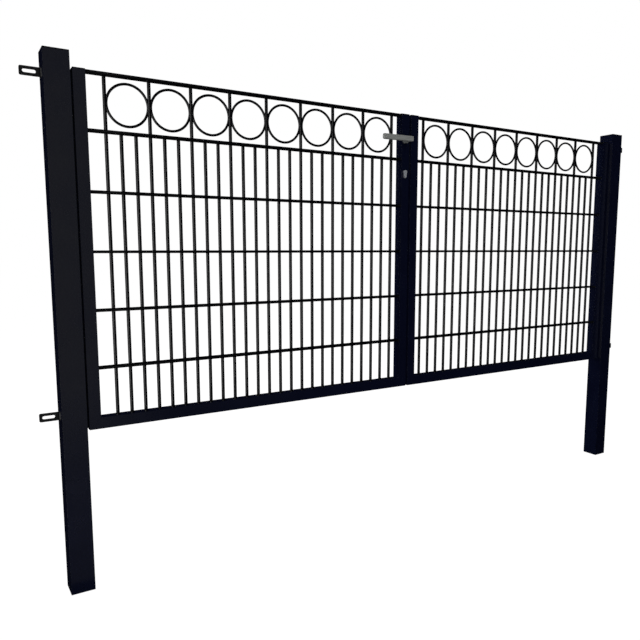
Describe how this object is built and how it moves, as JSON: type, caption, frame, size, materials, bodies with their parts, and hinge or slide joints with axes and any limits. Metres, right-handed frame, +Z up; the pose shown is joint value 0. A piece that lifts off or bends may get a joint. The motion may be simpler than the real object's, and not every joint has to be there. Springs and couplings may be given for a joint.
{
  "type": "double-leaf steel driveway gate",
  "caption": "Swinging double-leaf driveway gate of welded, powder-coated steel: square posts, tube frames, rod mats with a row of rings, slotted fence lugs, a lever handle and a cylinder lock.",
  "frame": {"origin": "middle of the left post's foot, on its flat underside", "axes": "+X along the closed gate from the left post to the right post, -Y the side with the lever handle, +Z up"},
  "size_m": [3.09, 0.134, 1.82],
  "materials": {
    "powder_coat": "satin blue-black powder coat",
    "cap_plastic": "matt black moulded cap",
    "handle_metal": "satin grey metal",
    "lock_steel": "brushed nickel-plated steel",
    "bolt_steel": "coated steel"
  },
  "bodies": {
    "posts": {"left_post": "powder_coat", "left_post_cap": "cap_plastic", "left_upper_lug": "powder_coat", "left_lower_lug": "powder_coat", "left_upper_hinge_pin": "powder_coat", "left_lower_hinge_pin": "powder_coat", "right_post": "powder_coat", "right_post_cap": "cap_plastic", "right_upper_lug": "powder_coat", "right_lower_lug": "powder_coat", "right_upper_hinge_pin": "powder_coat", "right_lower_hinge_pin": "powder_coat"},
    "left_leaf": {"left_hinge_stile": "powder_coat", "left_lock_stile": "powder_coat", "left_bottom_rail": "powder_coat", "left_rod_mat": "powder_coat", "left_ring_row": "powder_coat", "left_hinge_stile_cap": "cap_plastic", "left_lock_stile_cap": "cap_plastic", "left_upper_hinge_eye": "powder_coat", "left_lower_hinge_eye": "powder_coat", "lock_face_plate": "bolt_steel", "lock_cylinder": "lock_steel", "handle_rosette": "handle_metal"},
    "right_leaf": {"right_hinge_stile": "powder_coat", "right_lock_stile": "powder_coat", "right_bottom_rail": "powder_coat", "right_rod_mat": "powder_coat", "right_ring_row": "powder_coat", "right_hinge_stile_cap": "cap_plastic", "right_lock_stile_cap": "cap_plastic", "right_upper_hinge_eye": "powder_coat", "right_lower_hinge_eye": "powder_coat", "strike_plate": "bolt_steel", "drop_bolt": "bolt_steel", "drop_bolt_guides": "powder_coat"},
    "handle": {"handle_lever": "handle_metal", "handle_neck": "handle_metal"}
  },
  "joints": [
    {"name": "left_leaf_swing", "type": "hinge", "parent": "posts", "child": "left_leaf", "pos_m": [0.054, 0.0345, 0.7], "axis": [0, 0, 1], "range_deg": [0, 105]},
    {"name": "right_leaf_swing", "type": "hinge", "parent": "posts", "child": "right_leaf", "pos_m": [2.826, 0.0345, 0.7], "axis": [0, 0, -1], "range_deg": [0, 105]},
    {"name": "lever_turn", "type": "hinge", "parent": "left_leaf", "child": "handle", "pos_m": [1.411, -0.02, 1.664], "axis": [0, -1, 0], "range_deg": [0, 35], "stiffness_Nm_per_rad": 2, "springref_deg": -11.46}
  ]
}
